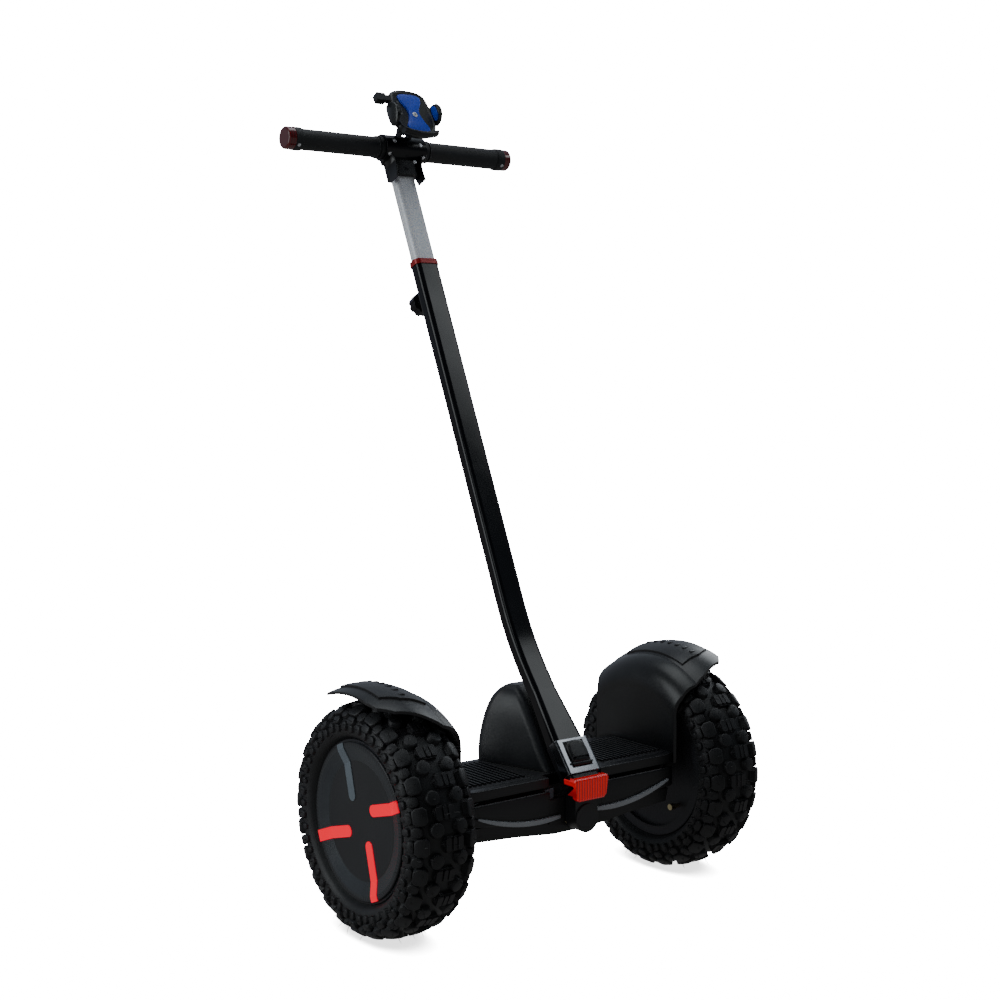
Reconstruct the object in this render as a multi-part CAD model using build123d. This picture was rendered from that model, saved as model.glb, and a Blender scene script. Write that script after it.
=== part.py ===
from build123d import *
import os
from math import cos, radians, sin

os.makedirs("parts", exist_ok=True)

# Row frame: +X to the rider's right, +Y forward, +Z up, origin on the ground below the axle's middle.
# All lengths are millimetres.

# Wheels
TYRE_R = 155.0
WHEEL_X = 253.0
AXLE_Z = 155.0
AXLE_R = 12.0
AXLE_INNER_X = 150.0
AXLE_END = 28.5
RUNNING_GAP = 0.05
BEARING_R = 19.0
BARREL_R = 93.0
BEAD_R = 99.0
FLANGE_R = 106.0
FLANGE_IN = 33.0
FLANGE_OUT = 36.0
CAP_R = 103.0
CAP_EDGE = 39.5
DISH = 34.0
DISH_R = 78.0
INSERT_W = 15.5
STATOR_R = 83.2
MAGNET_R = 84.0

# Body between the wheels
BODY_X = 186.5
DECK_Y = 88.0
DECK_LOW = 179.0
DECK_TOP = 192.0
WALL = 3.0
MAT_X = (64.0, 180.0)
MAT_Y = (-76.0, 44.0)
SLOPE_Y = 53.0
SLOPE_DROP = 11.0
MAT_GAP = 0.8
POCKET_FLOOR = 183.0
FRAME_TOP = 176.0
TRAY_LOW = 143.0
FASCIA_Y = (86.0, 90.0)
BELLY_Y = 84.0
PIVOT_Z = 135.0
ARM_R = 19.5
SHAFT_R = 10.0
BUSH_R = 16.0
NOTCH_X = 46.0
NOTCH_Y = -72.0
NOTCH_LOW = 162.0
FENDER_X = 187.0
FENDER_WALL = 3.5
SCREWS = [(x, y) for x in (-140.0, -100.0, 100.0, 140.0) for y in (-66.0, 66.0)]
BUTTON = (95.0, 160.0)
PORT = (-95.0, 160.0)

# Steering column and stem
LOWER_LEAN = 37.5
UPPER_LEAN = 23.5
FOOT = (0.0, -108.0, 172.0)
BEND = (0.0, 33.7, 356.7)
BEND_R = 450.0
TUBE_TOP = (0.0, 266.0, 891.0)
TUBE = (40.0, 22.0, 7.0)
INNER = (36.0, 18.0, 5.5)
FLARE = (52.0, 27.0, 8.0)
FLARE_END = 150.0
TUBE_WALL = 1.8
BORE_PLAY = 0.7
SLEEVE_X = 26.0
SLEEVE_REAR = -14.0
SLEEVE_FRONT = 13.0
SLEEVE_TOP = 70.0
LATCH_PIVOT = (-16.0, 33.0)
COLLAR_H = 8.0
KNOB_DROP = 47.0
KNOB_R = 16.5
STUD_R = 4.0

# Handlebar and phone holder
BAR = (330.0, 1071.0)
BAR_R = 11.0
BAR_HALF = 189.0
GRIP_R = 15.5
GRIP_COLLAR_R = 17.0
HEAD_HALF = 36.0
HEAD_R = 20.0
LAMP_END = 202.0
HOLDER = (0.0, 299.0, 1119.0)
HOLDER_TILT = 31.0
PLATE = (36.0, 43.0, 6.0)
TILT_PIVOT = (318.0, 1097.0)
TILT_PIN_R = 2.9

LOWER = Plane(
    origin=FOOT, x_dir=(1, 0, 0), z_dir=(0, sin(radians(LOWER_LEAN)), cos(radians(LOWER_LEAN)))
)
UPPER = Plane(
    origin=TUBE_TOP, x_dir=(1, 0, 0), z_dir=(0, sin(radians(UPPER_LEAN)), cos(radians(UPPER_LEAN)))
)
CRADLE = Plane(
    origin=HOLDER, x_dir=(1, 0, 0), z_dir=(0, -cos(radians(HOLDER_TILT)), sin(radians(HOLDER_TILT)))
)
EARS = Plane(
    origin=(0, BAR[0], BAR[1]),
    x_dir=(1, 0, 0),
    z_dir=(0, TILT_PIVOT[0] - BAR[0], TILT_PIVOT[1] - BAR[1]),
)
WHEEL_AXIS = Axis((0, 0, AXLE_Z), (1, 0, 0))


def block(x, y, z, r=0.0):
    """Box between three (low, high) pairs, its upright edges rounded by r."""
    box = Box(x[1] - x[0], y[1] - y[0], z[1] - z[0])
    if r > 0:
        box = fillet(box.edges().filter_by(Axis.Z), r)
    return Pos((x[0] + x[1]) / 2, (y[0] + y[1]) / 2, (z[0] + z[1]) / 2) * box


def rod(axis, r, lo, hi, a=0.0, b=0.0):
    """Cylinder along one axis from lo to hi, (a, b) being its other two coordinates in XYZ order."""
    mid = (lo + hi) / 2
    if axis == "x":
        return Pos(mid, a, b) * Rot(0, 90, 0) * Cylinder(r, hi - lo)
    if axis == "y":
        return Pos(a, mid, b) * Rot(90, 0, 0) * Cylinder(r, hi - lo)
    return Pos(a, b, mid) * Cylinder(r, hi - lo)


def both(shape):
    """The shape and its mirror image across the middle plane."""
    return [shape, mirror(shape, about=Plane.YZ)]


def group(shapes):
    """Several separate solids as one piece of the assembly."""
    solids = []
    for shape in shapes:
        solids.extend(shape.solids())
    return Compound(solids)


def save(node, shape):
    """Write one sub-part."""
    shape.label = node
    export_step(shape, "parts/" + node + ".step")


def save_pair(node, shape):
    """Write a right-hand sub-part and its mirror image on the left."""
    right, left = both(shape)
    save(node + "_right", right)
    save(node + "_left", left)


def at_wheel(points):
    """Points of (offset outward from the tyre's middle, radius) in the plane above the axle."""
    return [(WHEEL_X + s, 0, AXLE_Z + r) for s, r in points]


def turned(points):
    """Solid turned about the axle from a straight-sided outline."""
    face = Face(Wire.make_polygon(at_wheel(points), close=True))
    return revolve(face, WHEEL_AXIS, 360)


def prism_xz(points, y0, y1):
    """Outline of (x, z) points carried from y0 to y1."""
    face = Face(Wire.make_polygon([(x, y0, z) for x, z in points], close=True))
    return extrude(face, amount=y1 - y0, dir=(0, 1, 0))


def rounded(plane, section, low, high):
    """Rounded rectangular bar along a plane's normal."""
    return extrude(plane.offset(low) * RectangleRounded(*section), amount=high - low)


# ---------------------------------------------------------------- wheels


def tyre():
    """Balloon tyre, open towards the rim, its crown at the outer radius."""
    half = [(44, 108.5), (49.5, 115.5), (51, 124), (50, 131.5), (46, 138.5), (39, 145), (29, 150), (15, 154)]
    inner = [(37, 111.5), (42.5, 117.5), (44.5, 124), (43.5, 130.5), (39.5, 136), (32, 141), (17, 145.8)]
    bead = FLANGE_IN - 8
    out = [(FLANGE_IN, FLANGE_R + 0.5)] + half + [(0, TYRE_R)]
    out = out + [(-s, r) for s, r in reversed(out[:-1])]
    hollow = [(bead, FLANGE_R)] + inner + [(0, 147)]
    hollow = hollow + [(-s, r) for s, r in reversed(hollow[:-1])]
    edges = [
        Spline(*at_wheel(out)),
        Polyline(*at_wheel([out[-1], (-FLANGE_IN, BEAD_R), (-bead, BEAD_R), hollow[-1]])),
        Spline(*at_wheel(list(reversed(hollow)))),
        Polyline(*at_wheel([hollow[0], (bead, BEAD_R), (FLANGE_IN, BEAD_R), out[0]])),
    ]
    section = Face(Wire.combine([e for line in edges for e in line.edges()])[0])
    return revolve(section, WHEEL_AXIS, 360)


def wheel_rim():
    """Rim barrel with the motor's inner side wall and its bearing seat."""
    return turned(
        [
            (-FLANGE_OUT, BARREL_R),
            (-FLANGE_OUT, FLANGE_R),
            (-FLANGE_IN, FLANGE_R),
            (-FLANGE_IN, BEAD_R),
            (FLANGE_IN, BEAD_R),
            (FLANGE_IN, FLANGE_R),
            (FLANGE_OUT, FLANGE_R),
            (FLANGE_OUT, 95),
            (28, BARREL_R),
            (-26, BARREL_R),
            (-26, 28),
            (-20, 28),
            (-20, BEARING_R),
            (-33, BEARING_R),
            (-33, 28),
            (-30, 28),
            (-30, BARREL_R),
        ]
    )


def magnet_ring():
    """Ring of rotor magnets inside the barrel."""
    return turned([(-22, MAGNET_R), (-22, BARREL_R), (22, BARREL_R), (22, MAGNET_R)])


def motor_cover():
    """Outer side wall of the motor with its bearing seat."""
    wall = turned(
        [
            (24, 27),
            (24, BARREL_R),
            (28, BARREL_R),
            (28, 27),
            (29.5, 27),
            (29.5, BEARING_R),
            (17, BEARING_R),
            (17, 27),
        ]
    )
    return wall


def wheel_bearings():
    """The two ball bearings that carry a wheel on its axle."""
    bore = AXLE_R + RUNNING_GAP
    rings = []
    for low, high in ((-32, -22), (18, 28)):
        rings.append(turned([(low, bore), (low, BEARING_R), (high, BEARING_R), (high, bore)]))
    return group(rings)


def insert_band():
    """Thin layer following the hub cap's dished face, in which the inserts lie."""
    return turned(
        [
            (DISH - 1, 16),
            (DISH + 0.8, 16),
            (DISH + 0.8, DISH_R - 0.4),
            (CAP_EDGE + 0.8, 95.6),
            (CAP_EDGE + 0.8, CAP_R),
            (CAP_EDGE - 1, CAP_R),
            (CAP_EDGE - 1, 96.4),
            (DISH - 1, DISH_R + 0.4),
        ]
    )


def hub_cap_inserts():
    """Four bent trim strips a quarter turn apart."""
    plane = Plane(origin=(WHEEL_X, 0, AXLE_Z), x_dir=(0, 1, 0), z_dir=(1, 0, 0))
    path = Polyline((20, 30), (31, 70), (46, 108))
    line = trace(path, INSERT_W)
    line += Pos(20, 30) * Circle(INSERT_W / 2)
    strip = extrude(plane * line, amount=CAP_EDGE + 5)
    band = insert_band()
    strips = []
    for quarter in range(4):
        strips.append(band & strip.rotate(WHEEL_AXIS, 90 * quarter))
    return group(strips)


def hub_cap(inserts):
    """Dished plastic cap over the outer face of the wheel."""
    cap = turned(
        [
            (DISH - WALL, 0),
            (DISH, 0),
            (DISH, DISH_R),
            (CAP_EDGE, 96),
            (CAP_EDGE, CAP_R - 1),
            (CAP_EDGE - 1, CAP_R),
            (FLANGE_OUT, CAP_R),
            (FLANGE_OUT, 94.5),
            (DISH - WALL, DISH_R),
        ]
    )
    return cap - inserts


def valve():
    """Tyre valve with its cap, standing out of the motor's inner side wall."""
    y, z = -56.0, AXLE_Z - 53.0
    stem = rod("x", 3.0, WHEEL_X - 38, WHEEL_X - 30, y, z)
    return stem + rod("x", 4.5, WHEEL_X - 46, WHEEL_X - 38, y, z)


def motor_stators():
    """Slotted winding cores fixed on the axles."""
    core = rod("x", STATOR_R, WHEEL_X - 15, WHEEL_X + 15, 0, AXLE_Z)
    core -= rod("x", AXLE_R, WHEEL_X - 16, WHEEL_X + 16, 0, AXLE_Z)
    slots = 18
    slot = rod("x", 5, WHEEL_X - 16, WHEEL_X + 16, 0, AXLE_Z + 68)
    for k in range(slots):
        core -= slot.rotate(WHEEL_AXIS, 360 / slots * k)
    return group(both(core))


def axle_shafts():
    """Fixed axles, each held in the frame and carrying one wheel."""
    return group(both(rod("x", AXLE_R, AXLE_INNER_X, WHEEL_X + AXLE_END, 0, AXLE_Z)))


def axle_clamps():
    """Upper halves of the axle sockets."""
    clamp = block((AXLE_INNER_X, 184), (-22, 22), (AXLE_Z, FRAME_TOP - 1))
    clamp -= rod("x", AXLE_R, AXLE_INNER_X, 185, 0, AXLE_Z)
    return group(both(clamp))


# ---------------------------------------------------------------- body


def cover_screws():
    """Screws that hold the belly cover to the frame."""
    screws = []
    for x, y in SCREWS:
        head = rod("z", 4, 122, 126, x, y)
        screws.append(head + rod("z", 2, 126, 165, x, y))
    return group(screws)


def main_frame(screws):
    """Cast tray with pockets, a steering tunnel and a half socket for each axle."""
    frame = block((-184, 184), (-70, 70), (TRAY_LOW, FRAME_TOP), 6)
    for side in (-1, 1):
        pocket = sorted((38 * side, 145 * side))
        frame -= block(pocket, (-61, 61), (TRAY_LOW + 4, FRAME_TOP + 1))
        boss = sorted((148 * side, 184 * side))
        frame += block(boss, (-30, 30), (132, AXLE_Z))
        seat = sorted((AXLE_INNER_X * side, 190 * side))
        frame -= block(seat, (-22, 22), (AXLE_Z, FRAME_TOP + 1))
        frame -= rod("x", AXLE_R, seat[0], seat[1], 0, AXLE_Z)
    frame += block((-34, 34), (-78, 70), (116, FRAME_TOP - 14))
    frame -= rod("y", BUSH_R, -80, 22, 0, PIVOT_Z)
    return frame - screws


def steering_bearings():
    """Plain bushes at both ends of the steering shaft."""
    bushes = []
    for low, high in ((-78, -66), (8, 20)):
        ring = rod("y", BUSH_R, low, high, 0, PIVOT_Z)
        bushes.append(ring - rod("y", SHAFT_R + RUNNING_GAP, low, high, 0, PIVOT_Z))
    return group(bushes)


def centring_spring():
    """Rubber torsion sleeve that brings the column back upright."""
    sleeve = rod("y", BUSH_R - 0.5, -58, 0, 0, PIVOT_Z)
    for k in range(6):
        lobe = rod("y", 2, -58, 0, BUSH_R, PIVOT_Z)
        sleeve -= lobe.rotate(Axis((0, 0, PIVOT_Z), (0, 1, 0)), 60 * k)
    return sleeve - rod("y", SHAFT_R + 1, -58, 0, 0, PIVOT_Z)


def belly_cover(screws):
    """Shallow vee-bottomed cover under the frame with a flat pad in the middle."""
    right = [(34, 112), (100, 119), (172, 124), (176, 142)]
    inner = [(33.7, 115), (99.6, 122), (169.4, 127), (173, 143)]
    outer_points = right + [(-x, z) for x, z in reversed(right)]
    inner_points = inner + [(-x, z) for x, z in reversed(inner)]
    cover = prism_xz(outer_points, -BELLY_Y, BELLY_Y)
    cover -= prism_xz(inner_points, WALL - BELLY_Y, BELLY_Y - WALL)
    for x, y in SCREWS:
        cover += rod("z", 6, 121.8, TRAY_LOW, x, y)
        cover -= rod("z", 4, 110, 126, x, y)
    for seat in ((-180, -145), (145, 180)):
        cover -= block(seat, (-34, 34), (129, 145))
    cover -= block((-36, 36), (-80, 72), (114.9, 123))
    cover -= rod("y", BUSH_R + 1, -90, -79, 0, PIVOT_Z)
    return cover - screws


def slope(drop):
    """Wedge that takes the deck's front edge down, lowered by drop."""
    outline = [
        (0, SLOPE_Y, DECK_TOP - drop),
        (0, DECK_Y + 2, DECK_TOP - SLOPE_DROP - drop),
        (0, DECK_Y + 2, DECK_TOP + 5),
        (0, SLOPE_Y, DECK_TOP + 5),
    ]
    return extrude(Face(Wire.make_polygon(outline, close=True)), amount=BODY_X + 5, dir=(1, 0, 0), both=True)


def deck_cover():
    """Top cover with a pocket for each foot mat and a notch for the steering column."""
    deck = block((-BODY_X, BODY_X), (-DECK_Y, DECK_Y), (DECK_LOW, DECK_TOP), 12)
    top_edges = deck.edges().group_by(Axis.Z)[-1]
    deck = fillet(top_edges, 2)
    deck -= slope(0)
    inner_x = BODY_X - WALL
    inner_y = DECK_Y - WALL
    room = block((-inner_x, inner_x), (-inner_y, inner_y), (DECK_LOW - 1, DECK_TOP - WALL), 9)
    deck -= room - slope(WALL)
    for side in (-1, 1):
        pan = sorted(((MAT_X[0] - WALL) * side, (MAT_X[1] + WALL) * side))
        pocket = sorted((MAT_X[0] * side, MAT_X[1] * side))
        deck += block(pan, (MAT_Y[0] - WALL, MAT_Y[1] + WALL), (POCKET_FLOOR - WALL, DECK_TOP - 1))
        deck -= block(pocket, MAT_Y, (POCKET_FLOOR, DECK_TOP + 1), 6)
    deck -= block((-NOTCH_X, NOTCH_X), (-DECK_Y - 1, NOTCH_Y), (DECK_LOW - 1, DECK_TOP + 1))
    return deck - block((-26, 26), (-40, 50), (DECK_LOW - 1, DECK_TOP + 1))


def foot_mat():
    """Ribbed rubber pad that presses on the foot sensor."""
    x0 = MAT_X[0] + MAT_GAP
    x1 = MAT_X[1] - MAT_GAP
    y0 = MAT_Y[0] + MAT_GAP
    y1 = MAT_Y[1] - MAT_GAP
    mat = block((x0, x1), (y0, y1), (187, 192), 5)
    rib_pitch = 8.0
    count = int((x1 - x0 - 8) / rib_pitch)
    for k in range(count + 1):
        x = x0 + 6 + rib_pitch * k
        mat += block((x - 1.8, x + 1.8), (y0 + 10, y1 - 8), (191.5, 194.5))
    return mat


def foot_sensor_boards():
    """Pressure boards under the mats."""
    board = block((78, 164), (-60, 32), (POCKET_FLOOR, POCKET_FLOOR + 2))
    return group(both(board))


def hump_body(shrink):
    """Fin between the feet, narrow behind the stem and broad in front, drawn in by shrink."""
    levels = [
        (DECK_TOP, -68, 57, 31, 66, 13),
        (226, -43, 66, 29, 58, 14),
        (262, -16, 64, 26, 48, 14),
        (285, 6, 55, 21, 37, 12),
        (296, 25, 43, 12, 20, 7),
    ]
    faces = []
    for z, rear, front, narrow, wide, r in levels:
        low = rear + shrink
        high = front - shrink
        a = narrow - shrink
        b = wide - shrink
        outline = Face(Wire.make_polygon([(-a, low), (a, low), (b, high), (-b, high)], close=True))
        height = z - shrink if z > DECK_TOP else z - 1 if shrink else z
        faces.append(Pos(0, 0, height) * fillet(outline.vertices(), r - shrink))
    return loft(faces)


def center_hump():
    """Hollow cover between the feet, its rear ridge following the stem."""
    return hump_body(0) - hump_body(WALL)


def fascia_outline():
    """Outline of the front and rear panels, their lower edge following the belly's vee."""
    right = [(34, 129), (100, 137), (178, 146), (180, 178)]
    return right + [(-x, z) for x, z in reversed(right)]


def fascia_plate():
    """Rear panel plate with its top flange, without its cut-outs."""
    plate = prism_xz(fascia_outline(), -FASCIA_Y[1], -FASCIA_Y[0])
    return plate + block((-176, 176), (-FASCIA_Y[0] - 1, -73), (176.2, 178))


def rear_fascia():
    """Rear panel with a notch for the steering column and its shaft."""
    panel = fascia_plate()
    panel -= block((-NOTCH_X, NOTCH_X), (-95, NOTCH_Y + 2), (NOTCH_LOW, 180))
    return panel - rod("y", BUSH_R + 1, -95, -80, 0, PIVOT_Z)


def headlight_lens():
    """Clear lens of the headlight."""
    return Pos(0, 89, 160) * Rot(90, 0, 0) * extrude(RectangleRounded(95, 19, 6), amount=5, both=True)


def front_fascia(lens):
    """Front panel with openings for the headlight, the power button and the charge port."""
    panel = mirror(fascia_plate(), about=Plane.XZ)
    panel -= lens
    panel -= rod("y", 9.2, 80, 95, *BUTTON)
    return panel - rod("y", 11, 80, 95, *PORT)


def power_button():
    """Push button behind a retaining flange."""
    return rod("y", 8.8, 82, 93, *BUTTON) + rod("y", 10.5, 80, 84, *BUTTON)


def charge_port():
    """Charging socket with its centre contact."""
    shell = rod("y", 11, 76, 90, *PORT) - rod("y", 8, 79, 91, *PORT)
    return shell + rod("y", 1.5, 78, 86, *PORT)


def charge_port_cap():
    """Hinged cap over the charging socket."""
    x, z = PORT
    cap = rod("y", 11.5, 90.4, 93, x, z) + block((x - 5, x + 5), (90.4, 93), (z, z + 13))
    return cap + rod("x", 1.8, x - 5, x + 5, 92.2, z + 13)


def rear_light_strips():
    """Curved light strips that sweep from the steering boss up to the wheels."""
    middle = [(30, 138), (60, 136.2), (95, 138.2), (130, 145), (168, 157)]
    halves = [2.0, 3.2, 3.2, 3.0, 1.2]
    upper = [(x, -FASCIA_Y[1], z + h) for (x, z), h in zip(middle, halves)]
    lower = [(x, -FASCIA_Y[1], z - h) for (x, z), h in zip(middle, halves)]
    edges = [
        Spline(*upper).edge(),
        Line(upper[-1], lower[-1]).edge(),
        Spline(*reversed(lower)).edge(),
        Line(lower[0], upper[0]).edge(),
    ]
    strip = extrude(Face(Wire.combine(edges)[0]), amount=4, dir=(0, -1, 0))
    return group(both(strip))


def battery_pack():
    """Battery in the left pocket of the frame."""
    return block((-140, -42), (-56, 56), (TRAY_LOW + 4, FRAME_TOP - 2), 6)


def control_board():
    """Motor controller in the right pocket of the frame."""
    base = TRAY_LOW + 4
    board = block((44, 140), (-52, 52), (base, base + 3))
    for x, y in ((62, -32), (62, 0), (62, 32), (118, -30), (118, 30)):
        board += rod("z", 8, base + 2, base + 20, x, y)
    return board + block((84, 104), (-40, 40), (base + 2, base + 14))


def fender_section(grow):
    """Section of a fender over the tyre in (x, height over the axle), as a closed face."""
    x0 = FENDER_X
    outer = [(x0 - grow, 20), (x0 - grow, 118), (195 - 0.8 * grow, 147 + 0.5 * grow)]
    outer = outer + [(222, 163 + grow), (262, 175 + grow), (304, 169 + grow)]
    inner = [(304, 169 - FENDER_WALL), (262, 175 - FENDER_WALL), (222.8, 163 - FENDER_WALL)]
    inner = inner + [(197.8, 145), (x0 + FENDER_WALL, 117.5), (x0 + FENDER_WALL, 20)]
    lift = [[(x, 0, AXLE_Z + r) for x, r in points] for points in (outer, inner)]
    edges = [
        Line(lift[0][0], lift[0][1]).edge(),
        ThreePointArc(*lift[0][1:4]).edge(),
        ThreePointArc(*lift[0][3:6]).edge(),
        Line(lift[0][5], lift[1][0]).edge(),
        ThreePointArc(*lift[1][0:3]).edge(),
        ThreePointArc(*lift[1][2:5]).edge(),
        Line(lift[1][4], lift[1][5]).edge(),
        Line(lift[1][5], lift[0][0]).edge(),
    ]
    return Face(Wire.combine(edges)[0])


def swept_over(section, half_angle):
    """Section carried round the axle to both sides of the vertical."""
    return revolve(section.rotate(WHEEL_AXIS, -half_angle), WHEEL_AXIS, 2 * half_angle)


def plan(half_plan, low, high):
    """Plan outline symmetric front to rear, carried from low to high."""
    points = half_plan + [(x, -y) for x, y in reversed(half_plan)]
    face = Face(Wire.make_polygon([(x, y, low) for x, y in points], close=True))
    return extrude(face, amount=high - low, dir=(0, 0, 1))


def fender():
    """Arched guard over a tyre with a side panel down to the deck."""
    guard = swept_over(fender_section(0), 80)
    guard &= plan(
        [(180, 78), (197, 91), (218, 94), (240, 91), (284, 77), (300, 60), (306, 30)], FRAME_TOP, 400
    )
    for side in (-1, 1):
        tab = sorted((42 * side, 60 * side))
        guard += block((165, FENDER_X + 1), tab, (176.2, 178.8))
    return guard


def fender_plates():
    """Raised plates on top of the fenders."""
    plate = swept_over(fender_section(2.5), 24)
    plate &= plan([(226, 60), (262, 58), (288, 46)], 300, 400)
    solid_under = Face(
        Wire.make_polygon([(x, 0, AXLE_Z + r) for x, r in ((200, 20), (200, 150), (310, 150), (310, 20))])
    )
    return plate - swept_over(fender_section(0), 30) - swept_over(solid_under, 30)


# ---------------------------------------------------------------- steering column and stem


def column_socket():
    """Cast arm on the steering shaft with the sleeve that takes the stem."""
    arm = rod("y", ARM_R, -114, -91, 0, PIVOT_Z)
    arm += block((-ARM_R, ARM_R), (-112, -91), (PIVOT_Z, 172))
    arm += LOWER * block((-SLEEVE_X, SLEEVE_X), (SLEEVE_REAR, SLEEVE_FRONT), (8, SLEEVE_TOP), 6)
    arm -= LOWER * block((-20.2, 20.2), (-11.2, 11.2), (12, SLEEVE_TOP + 1), 7)
    arm -= LOWER * block((-17.2, 17.2), (SLEEVE_REAR - 1, -11), (28, SLEEVE_TOP - 4))
    arm += rod("y", SHAFT_R, -100, 22, 0, PIVOT_Z)
    return arm


def latch_frame():
    """Bright frame round the latch on the rear of the sleeve."""
    frame = block((-28.5, 28.5), (SLEEVE_REAR - 3, 2), (20, SLEEVE_TOP), 4)
    frame -= block((-SLEEVE_X, SLEEVE_X), (SLEEVE_REAR, 20), (19, SLEEVE_TOP + 1), 6)
    frame -= block((-17.2, 17.2), (-20, -10), (28, SLEEVE_TOP - 4))
    frame -= rod("x", 1.55, -20, 20, *LATCH_PIVOT)
    return LOWER * frame


def latch_lever():
    """Release lever hinged at its lower end."""
    lever = block((-15.5, 15.5), (-19.5, -11.8), (35, SLEEVE_TOP - 5.5), 3)
    lever += rod("x", 3.4, -15.5, 15.5, *LATCH_PIVOT)
    lever += block((-15.5, 15.5), (-18.6, -13.4), (33, 37))
    lever += rod("x", 1.5, -19.5, 19.5, *LATCH_PIVOT)
    return LOWER * lever


def tail_lamp():
    """Lamp that wraps round the foot of the column, narrower at the bottom."""
    rear = -124.0
    outline = [(21.5, 162), (26, 166), (30, 189), (27.5, 193)]
    outline = outline + [(-x, z) for x, z in reversed(outline)]
    lamp = prism_xz(outline, rear, -100)
    lamp = fillet(lamp.edges().group_by(Axis.Y)[0], 3)
    lamp -= block((-26.5, 26.5), (-114.5, -99), (150, 200))
    sleeve = block((-29, 29), (SLEEVE_REAR - 0.5, 20), (0, 92))
    frame = block((-29, 29), (SLEEVE_REAR - 3.2, 20), (19.5, 92))
    lamp -= LOWER * sleeve
    return lamp - LOWER * frame


def stem_path(start, beyond=0.0):
    """Centre line of the black tube from a height up the lower plane to a length beyond its top."""
    foot = LOWER.from_local_coords((0, 0, start))
    top = UPPER.from_local_coords((0, 0, beyond))
    return FilletPolyline(foot, BEND, top, radius=BEND_R)


def stem_tube():
    """Bent box tube, flared above its socket, with the clamp boss near its top."""
    tongue = extrude(LOWER.offset(13) * RectangleRounded(*TUBE), amount=SLEEVE_TOP - 12.9)
    flare = loft(
        [
            LOWER.offset(SLEEVE_TOP + 0.1) * RectangleRounded(*FLARE),
            LOWER.offset(FLARE_END) * RectangleRounded(*TUBE),
        ],
        ruled=True,
    )
    tube = sweep(LOWER.offset(FLARE_END) * RectangleRounded(*TUBE), path=stem_path(FLARE_END))
    tube = tongue + flare + tube
    bore = RectangleRounded(INNER[0] + BORE_PLAY, INNER[1] + BORE_PLAY, INNER[2])
    tube -= sweep(LOWER.offset(10) * bore, path=stem_path(10, 5))
    boss = rod("y", 9, TUBE[1] / 2 - TUBE_WALL / 2, 20, 0, -KNOB_DROP)
    hole = rod("y", STUD_R + RUNNING_GAP, 8, 21, 0, -KNOB_DROP)
    return tube + UPPER * boss - UPPER * hole


def stem_collar():
    """Coloured ring on the mouth of the black tube."""
    ring = rounded(UPPER, (42.5, 24.5, 8), 0.1, COLLAR_H)
    return ring - rounded(UPPER, (INNER[0] + 0.3, INNER[1] + 0.3, INNER[2]), -1, COLLAR_H + 1)


def clamp_knob():
    """Knob and threaded stud that clamp the telescoping tube."""
    knob = rod("y", KNOB_R, 26, 40, 0, -KNOB_DROP)
    for k in range(8):
        flute = rod("y", 3, 25, 41, KNOB_R + 1, -KNOB_DROP)
        knob -= flute.rotate(Axis((0, 0, -KNOB_DROP), (0, 1, 0)), 45 * k)
    knob += rod("y", 8, 20.5, 27, 0, -KNOB_DROP)
    knob += rod("y", STUD_R, 9.4, 22, 0, -KNOB_DROP)
    return UPPER * knob


def inner_tube():
    """Aluminium tube that telescopes in the black one."""
    wall = 2 * TUBE_WALL
    tube = rounded(UPPER, INNER, -180, 162)
    return tube - rounded(UPPER, (INNER[0] - wall, INNER[1] - wall, INNER[2] - TUBE_WALL), -181, 163)


# ---------------------------------------------------------------- handlebar


def handlebar_head():
    """T-shaped head joining the telescoping tube and the bar, with ears for the phone holder."""
    head = rod("x", HEAD_R, -HEAD_HALF, HEAD_HALF, *BAR)
    head += UPPER * block((-22, 22), (-17, 13), (147, 184), 6)
    shoulder = UPPER * block((-31, 31), (-17, 7), (172, 186), 6)
    head += shoulder
    for side in (-1, 1):
        ear = sorted((7 * side, 11 * side))
        head += EARS * block(ear, (-6, 6), (14, 28.6))
        head += rod("x", 6, ear[0], ear[1], *TILT_PIVOT)
    head -= rod("x", TILT_PIN_R + RUNNING_GAP, -12, 12, *TILT_PIVOT)
    head -= rounded(UPPER, INNER, 146, 162)
    return head - rod("x", BAR_R, -HEAD_HALF - 1, HEAD_HALF + 1, *BAR)


def handlebar_core():
    """Steel tube inside the head and the grips."""
    return rod("x", BAR_R, -BAR_HALF, BAR_HALF, *BAR) - rod("x", 9, -BAR_HALF, BAR_HALF, *BAR)


def grip():
    """Rubber grip with a raised collar at each end."""
    start = HEAD_HALF + 0.5
    body = rod("x", GRIP_R, start, BAR_HALF, *BAR)
    body += rod("x", GRIP_COLLAR_R, start, start + 6, *BAR)
    body += rod("x", GRIP_COLLAR_R, BAR_HALF - 11, BAR_HALF, *BAR)
    return body - rod("x", BAR_R, start - 1, BAR_HALF + 1, *BAR)


def end_lamps():
    """Lamps that close the ends of the bar."""
    lamp = rod("x", GRIP_R + 1, BAR_HALF, LAMP_END, *BAR)
    lamp = fillet(lamp.edges().group_by(Axis.X)[-1], 3)
    return group(both(lamp))


def phone_mount():
    """Knuckle, arm and turning disc that carry the phone holder."""
    knuckle = rod("x", 6, -6.5, 6.5, *TILT_PIVOT)
    knuckle += rod("x", TILT_PIN_R, -12, 12, *TILT_PIVOT)
    arm = block((-6, 6), (-15, 4), (-29, -9))
    arm += rod("z", 14, -10, -6.5, 0, 0)
    arm += rod("z", 4, -7, -2, 0, 0)
    return knuckle + CRADLE * arm


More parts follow.
